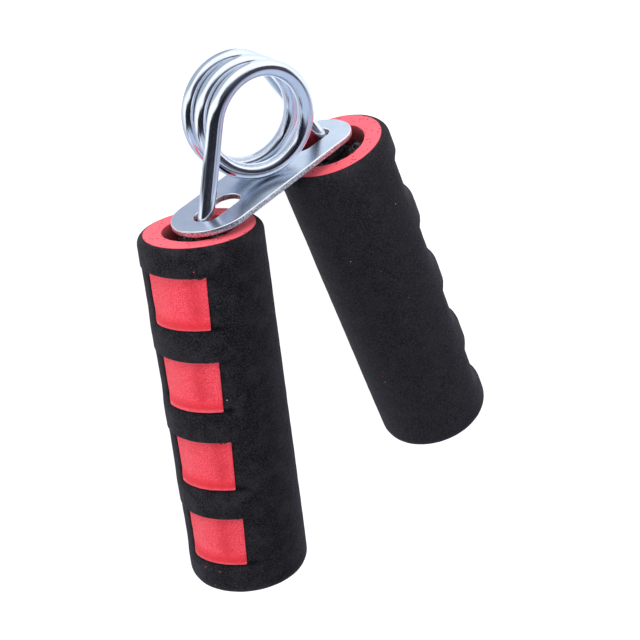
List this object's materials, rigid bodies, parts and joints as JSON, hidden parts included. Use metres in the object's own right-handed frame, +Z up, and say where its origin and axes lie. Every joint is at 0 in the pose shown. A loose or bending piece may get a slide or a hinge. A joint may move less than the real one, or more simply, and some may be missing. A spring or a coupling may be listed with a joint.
{
  "type": "hand grip strengthener",
  "caption": "Hand grip strengthener: a steel torsion spring with legs in two-layer foam handles, tied by a slotted plate, squeezed shut to train the grip.",
  "frame": {"origin": "on the surface the part lies on, in the middle of its length and width", "axes": "+X across the handles from left to right, +Y along the middle line from the handles' bottoms to the coil, +Z up from the surface it lies on"},
  "size_m": [0.1066, 0.1302, 0.031],
  "materials": {
    "wire": "polished",
    "plate": "satin",
    "core": "gloss",
    "inner_foam": "matte",
    "outer_foam": "matte"
  },
  "bodies": {
    "right_handle": {"outer_foam_right": "outer_foam", "inner_foam_right": "inner_foam", "core_right": "core", "spring_leg_right": "wire", "spring_coil": "wire"},
    "left_handle": {"outer_foam_left": "outer_foam", "inner_foam_left": "inner_foam", "core_left": "core", "spring_leg_left": "wire"},
    "plate": {"retainer_plate": "plate"}
  },
  "joints": [
    {"name": "squeeze", "type": "hinge", "parent": "right_handle", "child": "left_handle", "pos_m": [0, 0.05002, 0.0155], "axis": [-0.2453, 0, 0.9694], "range_deg": [0, 24], "stiffness_Nm_per_rad": 13, "deforming": ["spring_coil"]},
    {"name": "plate_follow", "type": "hinge", "parent": "right_handle", "child": "plate", "pos_m": [0, 0.05002, 0.0155], "axis": [-0.2453, 0, 0.9694], "range_deg": [0, 12]}
  ],
  "couplings": [
    {"joint": "plate_follow", "follows": "squeeze", "ratio": 0.5}
  ]
}
